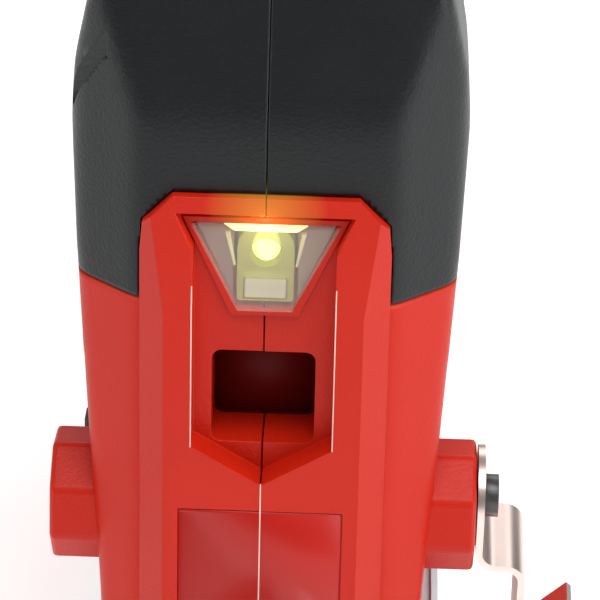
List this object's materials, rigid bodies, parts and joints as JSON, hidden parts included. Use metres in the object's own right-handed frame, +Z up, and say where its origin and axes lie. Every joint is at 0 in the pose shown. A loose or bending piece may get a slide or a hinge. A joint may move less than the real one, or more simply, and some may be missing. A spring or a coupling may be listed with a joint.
{
  "type": "jigsaw power tool",
  "caption": "Cordless top-handle jigsaw with red shell, black soft grip, lit nose lens, tilting sole, short blade, belt hook and slide-on battery.",
  "frame": {"origin": "on the sole plane, on the centre plane, directly under the plunger axis", "axes": "+Z up from the sole, -Y out of the nose, +X to the hook side"},
  "size_m": [0.0985, 0.252, 0.206],
  "materials": {
    "red_shell": "fine spark texture",
    "black_grip": "soft leather grain",
    "clear_lens": "clear",
    "led_lens": "clear, lit",
    "badge": "satin",
    "brass": "turned",
    "spring_steel": "bright",
    "black_screw": "black oxide",
    "steel": "ground",
    "gear_steel": "oiled",
    "alloy": "die cast",
    "bronze": "sintered",
    "copper": "drawn",
    "ferrite": "sintered",
    "black_plastic": "moulded",
    "red_button": "satin",
    "board": "solder mask",
    "cell_wrap": "shrink film",
    "wire": "silicone",
    "clear_shield": "clear"
  },
  "bodies": {
    "body": {"housing_left": "red_shell", "housing_right": "red_shell", "grip_left": "black_grip", "grip_right": "black_grip", "nose_lens": "clear_lens", "led": "led_lens", "led_holder": "clear_lens", "side_badge": "badge", "boss_inserts": "brass", "hook_screw": "black_screw", "housing_screws": "black_screw", "gear_housing": "alloy", "gear_axle": "steel", "upper_bush": "bronze", "lower_bush": "bronze", "pendulum_pin": "steel", "motor_can": "gear_steel", "magnets": "ferrite", "front_bearing": "steel", "rear_bearing": "steel", "brush_holder": "black_plastic", "brushes": "ferrite", "switch_block": "black_plastic", "control_board": "board", "terminal_block": "black_plastic", "wires": "wire", "bevel_screw": "steel"},
    "hook": {"belt_hook": "spring_steel"},
    "crank": {"crank_gear": "gear_steel", "crank_roller": "steel"},
    "rotor": {"motor_shaft": "steel", "armature": "gear_steel", "commutator": "copper", "pinion": "gear_steel", "fan": "black_plastic"},
    "ram": {"plunger": "steel", "yoke": "gear_steel", "blade_clamp": "black_screw", "blade": "steel"},
    "sleeve": {"clamp_sleeve": "black_plastic"},
    "pendulum": {"pendulum_fork": "gear_steel", "roller_pin": "black_screw"},
    "roller": {"guide_roller": "steel"},
    "orbit": {"orbit_knob": "black_plastic"},
    "trigger": {"trigger": "red_button", "trigger_spring": "steel"},
    "lock": {"lock_button": "red_button"},
    "dial": {"speed_dial": "black_plastic"},
    "pack": {"pack_front": "black_plastic", "pack_back": "red_shell", "pack_cells": "cell_wrap"},
    "release_left": {"pack_button_left": "red_button"},
    "release_right": {"pack_button_right": "red_button"},
    "base": {"footplate": "steel", "sole_shoe": "black_plastic"},
    "bevel": {"bevel_lever": "black_plastic"},
    "shield": {"chip_shield": "clear_shield"}
  },
  "joints": [
    {"name": "crank_turn", "type": "hinge", "parent": "body", "child": "crank", "pos_m": [0, 0.016, 0.101], "axis": [0, 1, 0], "range_deg": [0, 180]},
    {"name": "ram_stroke", "type": "slide", "parent": "body", "child": "ram", "axis": [0, 0, 1], "range_m": [-0.026, 0]},
    {"name": "rotor_spin", "type": "hinge", "parent": "body", "child": "rotor", "pos_m": [0, 0.06, 0.071], "axis": [0, 1, 0], "range_deg": [-900, 0]},
    {"name": "sleeve_turn", "type": "hinge", "parent": "ram", "child": "sleeve", "pos_m": [0, 0, 0.048], "axis": [0, 0, 1], "range_deg": [0, 40], "stiffness_Nm_per_rad": 0.05},
    {"name": "pendulum_swing", "type": "hinge", "parent": "body", "child": "pendulum", "pos_m": [0, 0.027, 0.042], "axis": [-1, 0, 0], "range_deg": [-4, 0]},
    {"name": "roller_spin", "type": "hinge", "parent": "pendulum", "child": "roller", "pos_m": [0, 0.009, 0.0086], "axis": [1, 0, 0], "continuous": true},
    {"name": "orbit_select", "type": "hinge", "parent": "body", "child": "orbit", "pos_m": [-0.034, 0.04, 0.049], "axis": [-1, 0, 0], "range_deg": [0, 90]},
    {"name": "trigger_pull", "type": "slide", "parent": "body", "child": "trigger", "axis": [0, 0, 1], "range_m": [0, 0.005], "stiffness_N_per_m": 600, "springref_m": -0.002, "deforming": ["trigger_spring"]},
    {"name": "lock_push", "type": "slide", "parent": "body", "child": "lock", "axis": [1, 0, 0], "range_m": [0, 0.003], "stiffness_N_per_m": 500},
    {"name": "speed_set", "type": "hinge", "parent": "body", "child": "dial", "pos_m": [0, 0.032, 0.195], "axis": [1, 0, 0], "range_deg": [0, 270]},
    {"name": "pack_release", "type": "slide", "parent": "body", "child": "pack", "axis": [0, 0, 1], "range_m": [0, 0.1]},
    {"name": "release_left_press", "type": "slide", "parent": "pack", "child": "release_left", "axis": [1, 0, 0], "range_m": [0, 0.0025], "stiffness_N_per_m": 500},
    {"name": "release_right_press", "type": "slide", "parent": "pack", "child": "release_right", "axis": [-1, 0, 0], "range_m": [0, 0.0025], "stiffness_N_per_m": 500},
    {"name": "bevel_tilt", "type": "hinge", "parent": "body", "child": "base", "pos_m": [0, 0, 0], "axis": [0, 1, 0], "range_deg": [-45, 45]},
    {"name": "bevel_clamp", "type": "hinge", "parent": "body", "child": "bevel", "pos_m": [0, 0.066, 0.008], "axis": [0, 0, 1], "range_deg": [-25, 25]},
    {"name": "shield_lift", "type": "slide", "parent": "body", "child": "shield", "axis": [0, 0, 1], "range_m": [0, 0.02]},
    {"name": "hook_swing", "type": "hinge", "parent": "body", "child": "hook", "pos_m": [0.04, -0.006, 0.0696], "axis": [1, 0, 0], "range_deg": [-90, 60]}
  ],
  "couplings": [
    {"joint": "ram_stroke", "follows": "crank_turn", "m_per_rad": -0.0082761},
    {"joint": "rotor_spin", "follows": "crank_turn", "ratio": -5}
  ]
}
